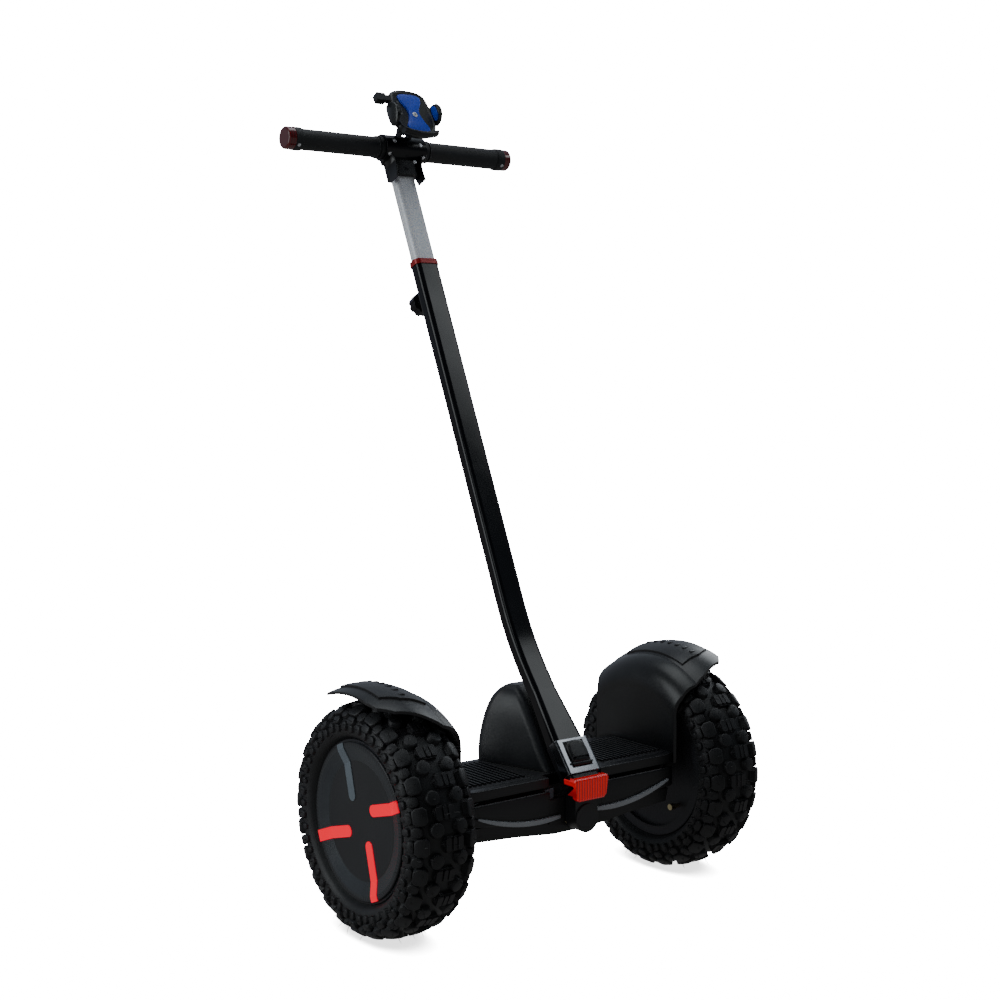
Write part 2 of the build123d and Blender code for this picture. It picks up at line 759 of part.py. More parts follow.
def phone_cradle():
    """Rounded plate with channels for the jaws and a foot ledge."""
    px, py, pz = PLATE
    plate = block((-px, px), (-py, py), (-pz, pz), 14)
    plate += block((-26, 26), (-py - 3, -py + 2), (-pz, 13), 1)
    plate -= rod("z", 4 + RUNNING_GAP, -pz - 1, -1.5, 0, 0)
    for side in (-1, 1):
        middle = 10 * side
        channel = sorted((2 * side, (px + 1) * side))
        plate -= block(channel, (middle - 6.2, middle + 6.2), (-0.2, 4.2))
    return CRADLE * (plate - block((-px - 1, -px + 14), (19.8, 30.2), (-4.2, 4.2)))


def phone_pad():
    """Waisted soft pad on the front of the plate."""
    pz = PLATE[2]
    points = [(22, 33), (20, 20), (10, 2), (13, -14), (20, -28), (18, -37)]
    points = points + [(-x, y) for x, y in reversed(points)]
    face = Face(Wire.make_polygon([(x, y, pz) for x, y in points], close=True))
    return CRADLE * extrude(face, amount=1.5, dir=(0, 0, 1))


def phone_jaw(side):
    """Sliding jaw: tongue in the plate's channel, upright arm, hooked lip and soft pad."""
    px = PLATE[0]
    span = (-27, 12) if side < 0 else (-17, 17)
    middle = 10 * side
    jaw = block(sorted((6 * side, (px + 3) * side)), (middle - 6, middle + 6), (0, 4))
    jaw += block(sorted(((px + 1) * side, (px + 7) * side)), span, (-5, 22), 1.5)
    jaw += block(sorted(((px - 2) * side, (px + 3) * side)), span, (18.5, 22))
    pad = block(sorted(((px - 1) * side, (px + 1) * side)), (span[0] + 4, span[1] - 4), (8, 18))
    return group([CRADLE * jaw, CRADLE * pad])


def phone_release_button():
    """Side button that frees the jaws."""
    px = PLATE[0]
    button = block((-px - 21, -px - 4), (18, 32), (-5.5, 5.5), 3)
    return CRADLE * (button + block((-px - 5, -px + 9), (20, 30), (-4, 4)))


screw_set = cover_screws()
lens_body = headlight_lens()
insert_set = hub_cap_inserts()

save_pair("tyre", tyre())
save_pair("wheel_rim", wheel_rim())
save_pair("magnet_ring", magnet_ring())
save_pair("motor_cover", motor_cover())
save_pair("wheel_bearings", wheel_bearings())
save_pair("hub_cap_inserts", insert_set)
save_pair("hub_cap", hub_cap(insert_set))
save_pair("valve", valve())
save("motor_stators", motor_stators())
save("axle_shafts", axle_shafts())
save("axle_clamps", axle_clamps())
save("cover_screws", screw_set)
save("main_frame", main_frame(screw_set))
save("steering_bearings", steering_bearings())
save("centring_spring", centring_spring())
save("belly_cover", belly_cover(screw_set))
save("deck_cover", deck_cover())
save_pair("foot_mat", foot_mat())
save("foot_sensor_boards", foot_sensor_boards())
save("center_hump", center_hump())
save("rear_fascia", rear_fascia())
save("headlight_lens", lens_body)
save("front_fascia", front_fascia(lens_body))
save("power_button", power_button())
save("charge_port", charge_port())
save("charge_port_cap", charge_port_cap())
save("rear_light_strips", rear_light_strips())
save("battery_pack", battery_pack())
save("control_board", control_board())
save_pair("fender", fender())
save("fender_plates", group(both(fender_plates())))
save("column_socket", column_socket())
save("latch_frame", latch_frame())
save("latch_lever", latch_lever())
save("tail_lamp", tail_lamp())
save("stem_tube", stem_tube())
save("stem_collar", stem_collar())
save("clamp_knob", clamp_knob())
save("inner_tube", inner_tube())
save("handlebar_head", handlebar_head())
save("handlebar_core", handlebar_core())
save_pair("grip", grip())
save("end_lamps", end_lamps())
save("phone_mount", phone_mount())
save("phone_cradle", phone_cradle())
save("phone_pad", phone_pad())
save("phone_jaw_left", phone_jaw(-1))
save("phone_jaw_right", phone_jaw(1))
save("phone_release_button", phone_release_button())
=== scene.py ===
import math
import random

import bmesh
import bpy
import numpy as np
from mathutils import Matrix, Vector


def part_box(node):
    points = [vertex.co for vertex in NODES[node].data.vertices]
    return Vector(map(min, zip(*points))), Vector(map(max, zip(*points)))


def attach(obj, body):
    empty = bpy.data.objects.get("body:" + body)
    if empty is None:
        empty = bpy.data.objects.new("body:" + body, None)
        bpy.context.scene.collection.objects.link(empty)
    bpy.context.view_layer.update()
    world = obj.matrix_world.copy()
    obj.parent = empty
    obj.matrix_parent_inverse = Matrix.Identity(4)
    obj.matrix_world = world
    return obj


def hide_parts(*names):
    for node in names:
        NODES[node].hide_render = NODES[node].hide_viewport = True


MM = 0.001
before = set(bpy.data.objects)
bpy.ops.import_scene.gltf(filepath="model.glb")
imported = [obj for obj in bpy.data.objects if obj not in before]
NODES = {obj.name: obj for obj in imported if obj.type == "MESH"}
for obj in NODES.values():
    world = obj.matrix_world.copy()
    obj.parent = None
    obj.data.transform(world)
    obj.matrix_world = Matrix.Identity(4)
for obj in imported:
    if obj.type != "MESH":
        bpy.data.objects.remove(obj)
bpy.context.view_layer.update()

# ------------------------------------------------------------------ materials


class Graph:
    """Small helper round a material's node tree."""

    def __init__(self, name):
        self.material = bpy.data.materials.new(name)
        self.material.use_nodes = True
        self.tree = self.material.node_tree
        self.tree.nodes.clear()
        self.out = self.add("ShaderNodeOutputMaterial")
        self.shader = self.add("ShaderNodeBsdfPrincipled")
        self.link(self.shader.outputs[0], self.out.inputs["Surface"])
        coords = self.add("ShaderNodeTexCoord")
        self.place = coords.outputs["Object"]

    def add(self, kind, **values):
        node = self.tree.nodes.new(kind)
        for key, value in values.items():
            setattr(node, key, value)
        return node

    def link(self, a, b):
        self.tree.links.new(a, b)

    def noise(self, scale, detail=4.0, rough=0.55, stretch=None):
        node = self.add("ShaderNodeTexNoise")
        node.inputs["Scale"].default_value = scale
        node.inputs["Detail"].default_value = detail
        node.inputs["Roughness"].default_value = rough
        if stretch:
            mapping = self.add("ShaderNodeMapping")
            mapping.inputs["Scale"].default_value = stretch
            self.link(self.place, mapping.inputs["Vector"])
            self.link(mapping.outputs[0], node.inputs["Vector"])
        else:
            self.link(self.place, node.inputs["Vector"])
        return node.outputs["Fac"]

    def spread(self, source, low, high, from_low=0.3, from_high=0.7):
        node = self.add("ShaderNodeMapRange")
        node.inputs["From Min"].default_value = from_low
        node.inputs["From Max"].default_value = from_high
        node.inputs["To Min"].default_value = low
        node.inputs["To Max"].default_value = high
        self.link(source, node.inputs["Value"])
        return node.outputs[0]

    def mix(self, factor, a, b):
        node = self.add("ShaderNodeMix", data_type="RGBA")
        self.link(factor, node.inputs["Factor"])
        node.inputs["A"].default_value = (*a, 1)
        node.inputs["B"].default_value = (*b, 1)
        return node.outputs["Result"]

    def total(self, a, b, weight=1.0):
        node = self.add("ShaderNodeMath", operation="MULTIPLY_ADD")
        self.link(b, node.inputs[0])
        node.inputs[1].default_value = weight
        self.link(a, node.inputs[2])
        return node.outputs[0]

    def relief(self, height, depth, strength=0.5, edge=0.0):
        bump = self.add("ShaderNodeBump")
        bump.inputs["Strength"].default_value = strength
        bump.inputs["Distance"].default_value = depth
        self.link(height, bump.inputs["Height"])
        if edge > 0:
            bevel = self.add("ShaderNodeBevel", samples=4)
            bevel.inputs["Radius"].default_value = edge
            self.link(bevel.outputs[0], bump.inputs["Normal"])
        self.link(bump.outputs[0], self.shader.inputs["Normal"])

    def set(self, **values):
        for key, value in values.items():
            self.shader.inputs[key.replace("_", " ")].default_value = value


def surface(
    name,
    colour,
    rough=(0.3, 0.4),
    metal=0.0,
    grain=900.0,
    depth=0.00015,
    strength=0.3,
    edge=0.0006,
    worn=None,
    stretch=None,
    **extra,
):
    """Plain material with grain relief, smudged roughness and a slight change of tone."""
    g = Graph(name)
    worn = worn or tuple(min(1.0, c * 1.35 + 0.004) for c in colour)
    smudge = g.noise(14.0, 5.0, 0.6)
    fine = g.noise(grain, 2.0, 0.5, stretch)
    tone = g.mix(g.spread(smudge, 0.0, 1.0), colour, worn)
    g.link(tone, g.shader.inputs["Base Color"])
    g.link(g.spread(g.total(smudge, fine, 0.15), *rough), g.shader.inputs["Roughness"])
    g.relief(g.total(fine, smudge, 0.2), depth, strength, edge)
    g.set(Metallic=metal, **extra)
    return g.material


def speckled_alloy(name):
    """Blasted aluminium tube with light flecks and fine drawn lines."""
    g = Graph(name)
    fleck = g.noise(520.0, 3.0, 0.7)
    drawn = g.noise(60.0, 4.0, 0.6, (9.0, 9.0, 0.4))
    tone = g.mix(g.spread(fleck, 0.0, 1.0, 0.35, 0.62), (0.66, 0.73, 0.82), (1.0, 1.0, 1.0))
    g.link(tone, g.shader.inputs["Base Color"])
    g.link(g.spread(g.total(fleck, drawn, 0.6), 0.34, 0.55, 0.5, 1.1), g.shader.inputs["Roughness"])
    g.relief(g.total(fleck, drawn, 0.4), 0.0002, 0.35, 0.0006)
    g.set(Metallic=0.2)
    return g.material


def lamp_red(name, colour, glow):
    """Red lamp plastic with fine vertical optics behind a gloss face."""
    g = Graph(name)
    optics = g.add("ShaderNodeTexWave", wave_type="BANDS", bands_direction="X")
    optics.inputs["Scale"].default_value = 70.0
    optics.inputs["Distortion"].default_value = 0.6
    g.link(g.place, optics.inputs["Vector"])
    cloud = g.noise(90.0, 3.0, 0.5)
    dark = tuple(0.45 * c for c in colour)
    tone = g.mix(g.spread(g.total(optics.outputs["Fac"], cloud, 0.5), 0, 1, 0.3, 1.2), dark, colour)
    g.link(tone, g.shader.inputs["Base Color"])
    g.link(tone, g.shader.inputs["Emission Color"])
    g.link(g.spread(cloud, 0.08, 0.2), g.shader.inputs["Roughness"])
    g.relief(g.total(cloud, optics.outputs["Fac"], 0.3), 0.0002, 0.2, 0.0012)
    g.set(Emission_Strength=glow, Coat_Weight=0.7, Coat_Roughness=0.05)
    return g.material


def clear_lens(name):
    """Clear ribbed headlight lens over a bright reflector."""
    g = Graph(name)
    ribs = g.add("ShaderNodeTexWave", wave_type="BANDS", bands_direction="X")
    ribs.inputs["Scale"].default_value = 60.0
    g.link(g.place, ribs.inputs["Vector"])
    cloud = g.noise(60.0, 3.0, 0.5)
    tone = g.mix(g.spread(cloud, 0.0, 1.0), (0.55, 0.58, 0.6), (0.8, 0.82, 0.84))
    g.link(tone, g.shader.inputs["Base Color"])
    g.link(g.spread(cloud, 0.04, 0.12), g.shader.inputs["Roughness"])
    g.relief(ribs.outputs["Fac"], 0.0005, 0.5, 0.0008)
    g.set(Metallic=0.3, Coat_Weight=1.0, Coat_Roughness=0.03)
    return g.material


MAT = {
    "body": surface("body_satin", (0.0070, 0.0072, 0.0086), (0.27, 0.42), grain=1500, depth=0.0001),
    "hump": surface("hump_satin", (0.0095, 0.0100, 0.0122), (0.30, 0.42), grain=1300, depth=0.00010),
    "fender": surface("fender_satin", (0.0075, 0.0078, 0.0092), (0.24, 0.38), grain=1500, depth=0.0001),
    "plate": surface("fender_plate", (0.012, 0.012, 0.014), (0.28, 0.45), grain=700, strength=0.5),
    "socket": surface("socket_black", (0.010, 0.010, 0.012), (0.22, 0.35), grain=1200, edge=0.0012),
    "tube": surface("tube_gloss", (0.0016, 0.0018, 0.0035), (0.10, 0.17), grain=500, depth=0.00004,
                    strength=0.15, edge=0.0008, Specular_IOR_Level=0.35),
    "chrome": surface("latch_chrome", (0.30, 0.31, 0.33), (0.08, 0.18), 1.0, 800, 0.00006, 0.2,
                      0.0012, (0.24, 0.25, 0.27)),
    "silver": surface("strip_silver", (0.42, 0.45, 0.48), (0.18, 0.30), 0.3, 900, 0.00006, 0.2,
                      0.0012, (0.36, 0.38, 0.41)),
    "steel": surface("plain_steel", (0.50, 0.50, 0.52), (0.22, 0.38), 1.0, 700, 0.0001, 0.3, 0.0005,
                     (0.38, 0.38, 0.40)),
    "cast": surface("cast_alloy", (0.12, 0.12, 0.13), (0.42, 0.60), 0.8, 420, 0.0003, 0.6, 0.001,
                    (0.18, 0.18, 0.19)),
    "motor": surface("motor_dark_alloy", (0.030, 0.031, 0.036), (0.35, 0.52), 0.5, 500, 0.0002, 0.5,
                     0.001, (0.05, 0.05, 0.06)),
    "iron": surface("core_iron", (0.11, 0.11, 0.12), (0.5, 0.65), 0.9, 600, 0.0002, 0.5, 0.0004,
                    (0.16, 0.13, 0.11)),
    "cap": surface("cap_charcoal", (0.016, 0.017, 0.020), (0.28, 0.40), 0.0, 1300, 0.00008, 0.25,
                   0.0012, (0.020, 0.021, 0.025)),
    "grey": surface("insert_grey", (0.15, 0.18, 0.21), (0.22, 0.34), 0.3, 900, 0.00008, 0.25, 0.0008),
    # cap ring step: lighter, slightly metallic grey as a painted highlight standing in for the bright rim
    # edge
    "ring": surface("cap_ring_painted_highlight", (0.035, 0.040, 0.047), (0.22, 0.34), 0.2, 1300, 0.00008, 0.25, 0.001,
                    (0.043, 0.049, 0.057)),
    # hub-cap inserts: red plastic with a painted glow, since the emission makes them shine although they
    # are no lamp
    "red": surface("insert_red_painted_glow", (0.95, 0.0005, 0.012), (0.16, 0.28), 0.0, 900, 0.00006, 0.2, 0.0008,
                   (1.0, 0.001, 0.016), Emission_Color=(1.0, 0.0, 0.03, 1), Specular_IOR_Level=0.2,
                   Emission_Strength=0.75),
    "collar": surface("collar_red", (0.30, 0.010, 0.012), (0.20, 0.32), 0.2, 900, 0.00006, 0.2,
                      0.0008, (0.38, 0.014, 0.016)),
    "mat": surface("mat_rubber", (0.007, 0.007, 0.009), (0.46, 0.64), 0.0, 1000, 0.0002, 0.5, 0.0006,
                   (0.011, 0.011, 0.013)),
    "grip": surface("grip_rubber", (0.010, 0.011, 0.013), (0.46, 0.62), 0.0, 1400, 0.0002, 0.6,
                    0.0008, (0.015, 0.016, 0.019)),
    "head": surface("head_black", (0.003, 0.003, 0.005), (0.14, 0.26), 0.0, 900, 0.00008, 0.25, 0.0012,
                    Specular_IOR_Level=0.38),
    "holder": surface("holder_black", (0.011, 0.012, 0.013), (0.20, 0.34), 0.0, 1000, 0.0001, 0.3,
                      0.001),
    "blue": surface("pad_blue", (0.001, 0.050, 0.60), (0.30, 0.42), 0.0, 1500, 0.00004, 0.15, 0.0006,
                    (0.002, 0.065, 0.68)),
    "white": surface("screw_white", (0.80, 0.82, 0.84), (0.25, 0.4), 0.3, 900, 0.00006, 0.2, 0.0005,
                     (0.7, 0.72, 0.74)),
    "bright": surface("screw_bright", (0.86, 0.87, 0.90), (0.14, 0.28), 0.7, 900, 0.00006, 0.2, 0.0004,
                      (0.76, 0.78, 0.80)),
    "brass": surface("valve_brass", (0.55, 0.48, 0.28), (0.25, 0.4), 1.0, 600, 0.0001, 0.3, 0.0004),
    "wrap": surface("battery_film", (0.03, 0.07, 0.20), (0.3, 0.5), 0.0, 200, 0.0003, 0.5, 0.001),
    "board": surface("board_green", (0.012, 0.09, 0.04), (0.35, 0.5), 0.0, 300, 0.0002, 0.5, 0.0004),
    "alloy": speckled_alloy("tube_speckled_alloy"),
    "lamp": lamp_red("lamp_red", (0.80, 0.0, 0.001), 0.40),
    "end": lamp_red("end_lamp_red", (0.16, 0.003, 0.006), 0.02),
    "lens": clear_lens("headlight_clear"),
}


def tyre_material():
    """Dull tyre rubber with random greyer, dusty patches."""
    g = Graph("tyre_rubber")
    dust = g.noise(22.0, 6.0, 0.65)
    pore = g.noise(700.0, 3.0, 0.6)
    tone = g.mix(g.spread(dust, 0.0, 1.0, 0.35, 0.7), (0.0105, 0.0108, 0.0120), (0.022, 0.0225, 0.025))
    g.link(tone, g.shader.inputs["Base Color"])
    g.link(g.spread(g.total(dust, pore, 0.3), 0.40, 0.62, 0.3, 1.0), g.shader.inputs["Roughness"])
    g.relief(g.total(pore, dust, 0.3), 0.00025, 0.5)
    g.set(Specular_IOR_Level=0.45)
    return g.material


MAT["tyre"] = tyre_material()

PAINT = {
    "body": ["belly_cover", "deck_cover", "rear_fascia", "front_fascia", "latch_lever", "charge_port"],
    "hump": ["center_hump"],
    "fender": ["fender_left", "fender_right"],
    "plate": ["fender_plates"],
    "socket": ["column_socket"],
    "tube": ["stem_tube"],
    "chrome": ["latch_frame"],
    "silver": ["rear_light_strips", "power_button"],
    "steel": ["axle_shafts", "wheel_bearings_left", "wheel_bearings_right", "cover_screws",
              "handlebar_core"],
    "cast": ["main_frame", "axle_clamps"],
    "motor": ["wheel_rim_left", "wheel_rim_right", "motor_cover_left", "motor_cover_right"],
    "iron": ["motor_stators", "magnet_ring_left", "magnet_ring_right"],
    "cap": ["hub_cap_left", "hub_cap_right"],
    "red": ["hub_cap_inserts_left", "hub_cap_inserts_right"],
    "collar": ["stem_collar"],
    "mat": ["foot_mat_left", "foot_mat_right", "charge_port_cap", "centring_spring"],
    "grip": ["grip_left", "grip_right"],
    "head": ["handlebar_head", "clamp_knob"],
    "holder": ["phone_mount", "phone_cradle", "phone_jaw_left", "phone_jaw_right", "phone_release_button"],
    "blue": ["phone_pad"],
    "brass": ["steering_bearings", "valve_left", "valve_right"],
    "wrap": ["battery_pack"],
    "board": ["foot_sensor_boards", "control_board"],
    "alloy": ["inner_tube"],
    "lamp": ["tail_lamp"],
    "end": ["end_lamps"],
    "lens": ["headlight_lens"],
}
for key, names in PAINT.items():
    for name in names:
        node = NODES[name]
        node.data.materials.clear()
        node.data.materials.append(MAT[key])


def paint_faces(node, material, test):
    """Give a second material to the faces of a CAD node whose centres pass a test."""
    data = NODES[node].data
    data.materials.append(material)
    index = len(data.materials) - 1
    for face in data.polygons:
        if test(face.center):
            face.material_index = index


AXLE = Vector((0, 0, sum(c.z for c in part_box("axle_shafts")) / 2))
# faces of the cap's ring step between these radii get the lighter ring material, a painted highlight
RING_INNER = 0.0785
RING_OUTER = 0.0995
for side in ("left", "right"):
    paint_faces(
        "hub_cap_" + side,
        MAT["ring"],
        lambda c: RING_INNER < math.hypot(c.y, c.z - AXLE.z) < RING_OUTER,
    )
    paint_faces(
        "hub_cap_inserts_" + side,
        MAT["grey"],
        lambda c: c.z - AXLE.z > abs(c.y) and c.z > AXLE.z,
    )

# ------------------------------------------------------------------ mesh tools


class Builder:
    """Collects vertices and faces for one mesh."""

    def __init__(self):
        self.points = []
        self.faces = []

    def ring_stack(self, rings, close_start=True, close_end=True):
        """Skin a stack of rings that all have the same number of points."""
        base = len(self.points)
        count = len(rings[0])
        for ring in rings:
            self.points.extend(ring)
        for k in range(len(rings) - 1):
            for i in range(count):
                j = (i + 1) % count
                a = base + k * count
                b = a + count
                self.faces.append((a + i, a + j, b + j, b + i))
        if close_start:
            self.faces.append(tuple(base + i for i in reversed(range(count))))
        if close_end:
            top = base + (len(rings) - 1) * count
            self.faces.append(tuple(top + i for i in range(count)))

    def grid(self, rows, wrap=False):
        """Skin rows of points."""
        base = len(self.points)
        count = len(rows[0])
        for row in rows:
            self.points.extend(row)
        total = len(rows)
        for k in range(total if wrap else total - 1):
            n = (k + 1) % total
            for i in range(count - 1):
                a = base + k * count + i
                b = base + n * count + i
                self.faces.append((a, a + 1, b + 1, b))

    def build(self, name, material, body, smooth=40.0):
        data = bpy.data.meshes.new(name)
        data.from_pydata([tuple(p) for p in self.points], [], self.faces)
        data.validate()
        mesh = bmesh.new()
        mesh.from_mesh(data)
        bmesh.ops.recalc_face_normals(mesh, faces=mesh.faces)
        mesh.to_mesh(data)
        mesh.free()
        data.materials.append(material)
        obj = bpy.data.objects.new(name, data)
        bpy.context.scene.collection.objects.link(obj)
        data.shade_smooth()
        data.set_sharp_from_angle(angle=math.radians(smooth))
        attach(obj, body)
        return obj


def turned(builder, profile, axis_point, axis, up, steps=32):
    """Revolve a profile of (distance along axis, radius) about an axis."""
    axis = Vector(axis).normalized()
    up = Vector(up).normalized()
    side = axis.cross(up)
    rings = []
    for along, radius in profile:
        ring = []
        for k in range(steps):
            a = 2 * math.pi * k / steps
            spoke = up * math.cos(a) + side * math.sin(a)
            ring.append(Vector(axis_point) + axis * along + spoke * radius)
        rings.append(ring)
    builder.ring_stack(rings)


def screw(builder, where, normal, radius, height=0.0012):
    """Round-headed screw with a socket recess, standing on a surface."""
    normal = Vector(normal).normalized()
    up = normal.orthogonal().normalized()
    r = radius
    profile = [(-height, r), (0.0, r), (height * 0.6, r * 0.94), (height, r * 0.72), (height, r * 0.42),
               (height * 0.25, r * 0.38), (height * 0.2, r * 0.05)]
    turned(builder, profile, where, normal, up, 20)


def rounded_loop(points, passes=3):
    """Closed outline with its corners cut smooth."""
    loop = [np.array(p, float) for p in points]
    for _ in range(passes):
        new = []
        for a, b in zip(loop, loop[1:] + loop[:1]):
            new.append(0.75 * a + 0.25 * b)
            new.append(0.25 * a + 0.75 * b)
        loop = new
    return loop


def drawn_in(loop, amount):
    """Closed outline moved inwards by amount."""
    out = []
    count = len(loop)
    for k in range(count):
        t = loop[(k + 1) % count] - loop[k - 1]
        normal = np.array([-t[1], t[0]]) / (np.linalg.norm(t) or 1.0)
        out.append(loop[k] + normal * amount)
    return out


def plate(builder, loop, levels, place):
    """Solid with rounded rims; levels are (height, inset) pairs and place makes each point."""
    rings = []
    for height, inset in levels:
        rings.append([place(q[0], q[1], height) for q in drawn_in(loop, inset)])
    builder.ring_stack(rings)


# ------------------------------------------------------------------ tyres

SECTION = [(33, 99), (33.4, 106.8), (37, 108.6), (41.5, 111), (45.2, 116), (46.4, 122), (45.6, 128.5),
           (43, 134), (38, 139), (31, 143), (22, 145.6), (12, 147.2), (0, 147.8)]


def smooth_section():
    """Outside of the carcass from bead to bead: arc length from the crown, position and normal."""
    pts = [(s, r) for s, r in SECTION] + [(-s, r) for s, r in reversed(SECTION[:-1])]
    pts = np.array(pts, float)
    for _ in range(3):
        new = []
        for a, b in zip(pts[:-1], pts[1:]):
            new.append(0.75 * a + 0.25 * b)
            new.append(0.25 * a + 0.75 * b)
        pts = np.array([pts[0]] + new + [pts[-1]])
    length = np.concatenate([[0], np.cumsum(np.linalg.norm(np.diff(pts, axis=0), axis=1))])
    length -= length[-1] / 2
    return length, pts


ARC, CARCASS = smooth_section()


def on_carcass(u):
    """Position (offset, radius) and outward normal at arc length u from the crown."""
    s = np.interp(u, -ARC[::-1], CARCASS[::-1, 0])
    r = np.interp(u, -ARC[::-1], CARCASS[::-1, 1])
    e = 0.6
    ds = np.interp(u + e, -ARC[::-1], CARCASS[::-1, 0]) - np.interp(u - e, -ARC[::-1], CARCASS[::-1, 0])
    dr = np.interp(u + e, -ARC[::-1], CARCASS[::-1, 1]) - np.interp(u - e, -ARC[::-1], CARCASS[::-1, 1])
    n = math.hypot(ds, dr) or 1.0
    return s, r, -dr / n, ds / n


def tyre_point(side, centre_x, u, angle, h):
    """Point of the tyre in metres: u across the tread, angle round the axle, h above the carcass."""
    s, r, ns, nr = on_carcass(u)
    if nr < 0 and abs(ns) < 0.2:
        ns, nr = -ns, -nr
    s += ns * h
    r += nr * h
    x = centre_x + side * s * MM
    return Vector((x, -r * MM * math.sin(angle), AXLE.z + r * MM * math.cos(angle)))


def knob(builder, side, cx, u, angle, outline, height, inset=1.4):
    """Tread block: outline of (u, v) millimetres raised from the carcass with a bevelled top."""
    centre = np.mean(outline, axis=0)

    def ring(scale_in, h):
        pts = []
        for du, dv in outline:
            d = np.array([du, dv]) - centre
            size = np.linalg.norm(d)
            q = centre + d * max(0.1, (size - scale_in) / size)
            pts.append(tyre_point(side, cx, u + q[0], angle + q[1] / 150.0, h))
        return pts

    foot = [ring(-2.2, -1.2), ring(-0.7, 0.5)]
    top = [ring(0.2, height - 0.9), ring(inset * 0.5, height - 0.25), ring(inset, height)]
    builder.ring_stack(foot + top, close_start=False)


def box_outline(w, l, cut=2.0):
    """Rectangle with cut corners."""
    a, b = w / 2, l / 2
    return [(-a + cut, -b), (a - cut, -b), (a, -b + cut), (a, b - cut), (a - cut, b), (-a + cut, b),
            (-a, b - cut), (-a, -b + cut)]


def hair(builder, root, direction, length, rng):
    """Thin moulding hair, bent a little."""
    direction = direction.normalized()
    sway = Vector((rng.uniform(-1, 1), rng.uniform(-1, 1), rng.uniform(-1, 1))) * 0.35
    side_a = direction.orthogonal().normalized()
    side_b = direction.cross(side_a)
    rings = []
    for t, r in ((0.0, 0.00055), (0.5, 0.00042), (1.0, 0.00024)):
        c = root + direction * (length * t) + sway * (length * t * t)
        corners = [side_a * math.cos(a) + side_b * math.sin(a) for a in (0.0, 2.094, 4.189)]
        rings.append([c + corner * r for corner in corners])
    builder.ring_stack(rings)


PITCHES = 24


def oval(w, l):
    """Rounded outline."""
    return [(w / 2 * math.cos(t), l / 2 * math.sin(t)) for t in np.linspace(0, 2 * math.pi, 13)[:-1]]


def tread(builder, side, cx):
    """All blocks of one tyre."""
    step = 2 * math.pi / PITCHES
    for k in range(PITCHES):
        a = k * step
        lean = 5.0 if k % 2 else -5.0
        # wide hexagonal centre block with two short sipes
        hexagon = [(-15, 0), (-10, -10), (10, -10), (15, 0), (10, 10), (-10, 10)]
        knob(builder, side, cx, lean, a, hexagon, 5.0, 0.8)
        for at, width in ((-8.6, 8.4), (0.0, 6.2), (8.6, 8.4)):
            knob(builder, side, cx, lean + at, a, box_outline(width, 16.5, 1.6), 7.2, 0.6)
        for w in (-1, 1):
            # round intermediate block between the centre blocks
            knob(builder, side, cx, w * 17.5, a + step / 2, oval(17, 19), 7.4, 1.6)
            # shoulder blocks, long and short in turn
            knob(builder, side, cx, w * 36.0, a, box_outline(16, 23, 4.0), 8.4, 2.0)
            knob(builder, side, cx, w * 41.0, a + step / 2, box_outline(12, 14, 3.0), 6.6, 1.6)
            knob(builder, side, cx, w * 49.0, a, box_outline(8, 17, 2.2), 5.4, 1.3)
            # side lugs down the wall
            knob(builder, side, cx, w * 56.5, a + step / 2, box_outline(11, 12, 2.6), 3.4, 1.3)
            knob(builder, side, cx, w * 58.5, a, box_outline(9, 9, 2.2), 3.0, 1.2)


AROUND = 168
ACROSS = 70
WALL_RIDGES = (64, 82)
HAIR_LENGTH = (4.5, 9.5)
GROUND_CLEARANCE = 0.004


def tyre(side_name):
    side = -1 if side_name == "left" else 1
    low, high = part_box("tyre_" + side_name)
    cx = (low.x + high.x) / 2
    b = Builder()
    rows = []
    us = np.linspace(-ARC[-1] + 0.01, ARC[-1] - 0.01, ACROSS)
    for k in range(AROUND):
        a = 2 * math.pi * k / AROUND
        row = []
        for u in us:
            ridge = 0.0
            if WALL_RIDGES[0] < abs(u) < WALL_RIDGES[1]:
                ridge = 0.6 * max(0.0, math.sin((abs(u) - WALL_RIDGES[0]) * 1.45)) ** 3
            row.append(tyre_point(side, cx, u, a, ridge))
        rows.append(row)
    b.grid(rows, wrap=True)
    tread(b, side, cx)
    rng = random.Random(11 + side)
    spots = []
    step = 2 * math.pi / PITCHES
    for k in range(PITCHES):
        a = k * step
        for w in (-1, 1):
            spots += [(w * 8, a, 7.0), (w * 36, a, 8.2), (w * 50, a, 5.0), (w * 20, a + step / 2, 7.2)]
            spots += [(w * 42, a + step / 2, 7.0), (w * 30, a + step / 4, 0.0), (w * 57, a + step / 2, 3.0)]
            spots += [(w * 46, a + 0.7 * step, 0.0), (w * 62, a + 0.3 * step, 0.0)]
            spots += [(w * 54, a + step / 4, 0.3)]
    for u, a, h in spots:
        a += rng.uniform(-0.03, 0.03)
        u += rng.uniform(-3, 3)
        root = tyre_point(side, cx, u, a, h - 0.4)
        out = tyre_point(side, cx, u, a, h + 6)
        direction = (out - root).normalized()
        direction += Vector([rng.uniform(-0.35, 0.35) for _ in range(3)])
        length = rng.uniform(*HAIR_LENGTH) * MM
        tip = root + direction.normalized() * length
        if min(tip.z, root.z) < GROUND_CLEARANCE:
            continue
        hair(b, root, direction, length, rng)
    for p in b.points:
        p.z = max(p.z, 0.0002)
    obj = b.build("tyre_tread_" + side_name, MAT["tyre"], "wheel_" + side_name, 38.0)
    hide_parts("tyre_" + side_name)


tyre("left")
tyre("right")

# ------------------------------------------------------------------ phone holder

TILT = math.radians(31.0)
PAD_FACE = Vector((0, -math.cos(TILT), math.sin(TILT)))
PAD_UP = Vector((0, math.sin(TILT), math.cos(TILT)))
PAD_MID = sum(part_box("phone_pad"), Vector()) / 2
HOLDER = PAD_MID - PAD_FACE * 6.75 * MM + PAD_UP * 2.0 * MM


def on_holder(a, b, n):
    """Point of the phone holder from millimetres across, up and out of its plate."""
    return HOLDER + (Vector((a, 0, 0)) + PAD_UP * b + PAD_FACE * n) * MM


